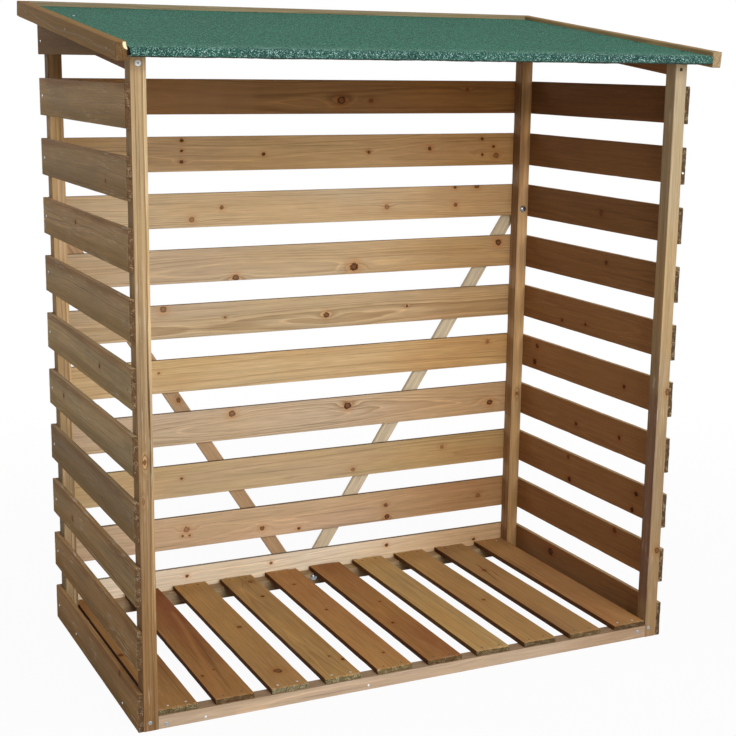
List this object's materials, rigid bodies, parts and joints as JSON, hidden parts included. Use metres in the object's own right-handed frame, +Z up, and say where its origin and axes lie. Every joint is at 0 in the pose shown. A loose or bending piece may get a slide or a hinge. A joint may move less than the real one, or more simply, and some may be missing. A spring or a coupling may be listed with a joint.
{
  "type": "log store",
  "caption": "Open-fronted slatted timber log store with a felted lean-to roof falling to the front, a slatted floor and a V brace on the back.",
  "frame": {"origin": "on the ground, below the middle of the whole outline, roof overhangs included", "axes": "+Z up, +X to the right of someone facing the open front, -Y out of the open front"},
  "size_m": [1.474, 0.8854, 1.5946],
  "materials": {
    "frame_wood": "pressure-treated softwood, sawn, straight grained",
    "rail_wood": "pressure-treated softwood, pale",
    "side_wood": "pressure-treated softwood, greyed outside and red-brown inside",
    "back_wood": "pressure-treated softwood with dark knots",
    "floor_wood": "pressure-treated softwood, orange-brown",
    "brace_wood": "pressure-treated softwood",
    "roof_edge_wood": "pressure-treated softwood battens",
    "roof_boards": "softwood roof boards",
    "roof_felt": "green mineral roofing felt, gritty"
  },
  "bodies": {
    "root": {"back_floor_rail": "rail_wood", "back_left_post": "frame_wood", "back_right_post": "frame_wood", "back_roof_trim": "roof_edge_wood", "back_slat_01": "back_wood", "back_slat_02": "back_wood", "back_slat_03": "back_wood", "back_slat_04": "back_wood", "back_slat_05": "back_wood", "back_slat_06": "back_wood", "back_slat_07": "back_wood", "back_slat_08": "back_wood", "back_slat_09": "back_wood", "back_slat_10": "back_wood", "back_slat_11": "back_wood", "floor_slat_01": "floor_wood", "floor_slat_02": "floor_wood", "floor_slat_03": "floor_wood", "floor_slat_04": "floor_wood", "floor_slat_05": "floor_wood", "floor_slat_06": "floor_wood", "floor_slat_07": "floor_wood", "floor_slat_08": "floor_wood", "floor_slat_09": "floor_wood", "floor_slat_10": "floor_wood", "front_floor_rail": "rail_wood", "front_left_post": "frame_wood", "front_right_post": "frame_wood", "left_back_brace": "brace_wood", "left_barge_board": "roof_edge_wood", "left_gable_slat": "side_wood", "left_rafter": "frame_wood", "left_side_slats": "side_wood", "right_back_brace": "brace_wood", "right_barge_board": "roof_edge_wood", "right_gable_slat": "side_wood", "right_rafter": "frame_wood", "right_side_slats": "side_wood", "roof_deck": "roof_boards", "roof_felt": "roof_felt"}
  },
  "joints": []
}
